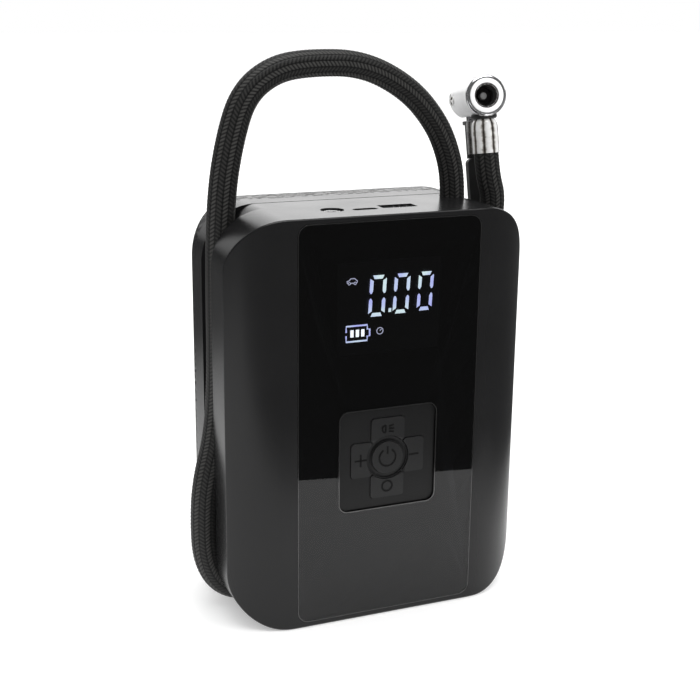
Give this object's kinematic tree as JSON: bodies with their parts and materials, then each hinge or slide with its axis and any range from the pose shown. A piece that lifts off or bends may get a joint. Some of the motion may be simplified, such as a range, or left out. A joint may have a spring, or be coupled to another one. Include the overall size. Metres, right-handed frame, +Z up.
{
  "type": "portable tire inflator",
  "caption": "Hand-size cordless tire inflator with a flat rounded body, glass front with lit display and keypad, braided hose that forms a carry handle, and a thumb-lock valve chuck.",
  "frame": {"origin": "middle of the body's bottom, measured without the hose and chuck", "axes": "+Z up along the body's height, +X to the right seen from the display side, +Y towards the back; the display faces -Y"},
  "size_m": [0.1251, 0.06, 0.1978],
  "materials": {
    "shell_black": "fine matte texture",
    "smoked_glass": "polished smoked",
    "keypad_black": "satin",
    "key_black": "soft satin",
    "display_case": "matte",
    "display_light": "glowing",
    "board_green": "solder mask",
    "switch_black": "matte",
    "silicone": "translucent",
    "port_steel": "bright",
    "reflector": "mirror",
    "lamp_clear": "clear",
    "led_yellow": "clear dome",
    "cell_wrap": "shrink wrap",
    "holder_black": "moulded",
    "motor_zinc": "zinc plated",
    "steel": "turned",
    "screw_black": "blackened",
    "cast_alloy": "cast",
    "brass": "turned",
    "lead_red": "insulation",
    "braid_black": "braided sleeve",
    "nickel": "nickel plated",
    "seal_black": "matte",
    "plunger_grey": "satin"
  },
  "bodies": {
    "housing": {"front_shell": "shell_black", "rear_shell": "shell_black", "display_glass": "smoked_glass", "keypad_plate": "keypad_black", "display_module": "display_case", "display_segments": "display_light", "main_board": "board_green", "port_board": "board_green", "tact_switches": "switch_black", "pressure_sensor": "switch_black", "sensor_tube": "silicone", "usb_a_port": "port_steel", "usb_c_port": "port_steel", "lamp_reflector": "reflector", "lamp_lens": "lamp_clear", "lamp_led": "led_yellow", "battery_cells": "cell_wrap", "battery_holder": "holder_black", "motor_cap": "holder_black", "motor_can": "motor_zinc", "crank_bearing": "steel", "motor_screws": "steel", "head_bolts": "steel", "housing_screws": "screw_black", "gearbox_frame": "cast_alloy", "cylinder": "cast_alloy", "cylinder_head": "cast_alloy", "valve_plate": "cast_alloy", "outlet_fitting": "brass", "battery_leads": "lead_red", "motor_leads": "lead_red", "air_hose": "braid_black", "hose_ferrule": "nickel", "chuck_body": "nickel", "lever_pin": "nickel", "chuck_gasket": "seal_black"},
    "power_key": {"power_button": "key_black"},
    "lamp_key": {"lamp_button": "key_black"},
    "plus_key": {"plus_button": "key_black"},
    "minus_key": {"minus_button": "key_black"},
    "mode_key": {"mode_button": "key_black"},
    "rotor": {"motor_shaft": "steel", "drive_pinion": "steel"},
    "crank": {"crank_gear": "steel", "crank_shaft": "steel", "crank_pin": "steel"},
    "rod": {"connecting_rod": "cast_alloy", "wrist_pin": "steel"},
    "piston": {"piston": "cast_alloy", "piston_seal": "silicone"},
    "lever": {"chuck_lever": "nickel", "lever_sleeve": "seal_black"},
    "plunger": {"chuck_plunger": "plunger_grey"}
  },
  "joints": [
    {"name": "power_press", "type": "slide", "parent": "housing", "child": "power_key", "axis": [0, 1, 0], "range_m": [0, 0.0006], "stiffness_N_per_m": 900, "springref_m": -0.0004},
    {"name": "lamp_press", "type": "slide", "parent": "housing", "child": "lamp_key", "axis": [0, 1, 0], "range_m": [0, 0.0006], "stiffness_N_per_m": 900, "springref_m": -0.0004},
    {"name": "plus_press", "type": "slide", "parent": "housing", "child": "plus_key", "axis": [0, 1, 0], "range_m": [0, 0.0006], "stiffness_N_per_m": 900, "springref_m": -0.0004},
    {"name": "minus_press", "type": "slide", "parent": "housing", "child": "minus_key", "axis": [0, 1, 0], "range_m": [0, 0.0006], "stiffness_N_per_m": 900, "springref_m": -0.0004},
    {"name": "mode_press", "type": "slide", "parent": "housing", "child": "mode_key", "axis": [0, 1, 0], "range_m": [0, 0.0006], "stiffness_N_per_m": 900, "springref_m": -0.0004},
    {"name": "crank_spin", "type": "hinge", "parent": "housing", "child": "crank", "pos_m": [-0.005, 0.01, 0.116], "axis": [0, 0, 1], "continuous": true},
    {"name": "motor_spin", "type": "hinge", "parent": "housing", "child": "rotor", "pos_m": [-0.026, 0.01, 0.116], "axis": [0, 0, 1], "continuous": true},
    {"name": "rod_swing", "type": "hinge", "parent": "crank", "child": "rod", "pos_m": [-0.008, 0.01, 0.121], "axis": [0, 0, 1], "continuous": true},
    {"name": "piston_stroke", "type": "slide", "parent": "housing", "child": "piston", "axis": [1, 0, 0], "range_m": [0, 0.006]},
    {"name": "lever_swing", "type": "hinge", "parent": "housing", "child": "lever", "pos_m": [0.05395, 0.01896, 0.17829], "axis": [0.9742, -0.2149, 0.0691], "range_deg": [0, 90]},
    {"name": "plunger_push", "type": "slide", "parent": "housing", "child": "plunger", "axis": [-0.2228, -0.9649, 0.1392], "range_m": [0, 0.0009]}
  ],
  "couplings": [
    {"joint": "motor_spin", "follows": "crank_spin", "ratio": -3},
    {"joint": "rod_swing", "follows": "crank_spin", "ratio": -1},
    {"joint": "lever_swing", "follows": "plunger_push", "rad_per_m": 1745.3}
  ]
}
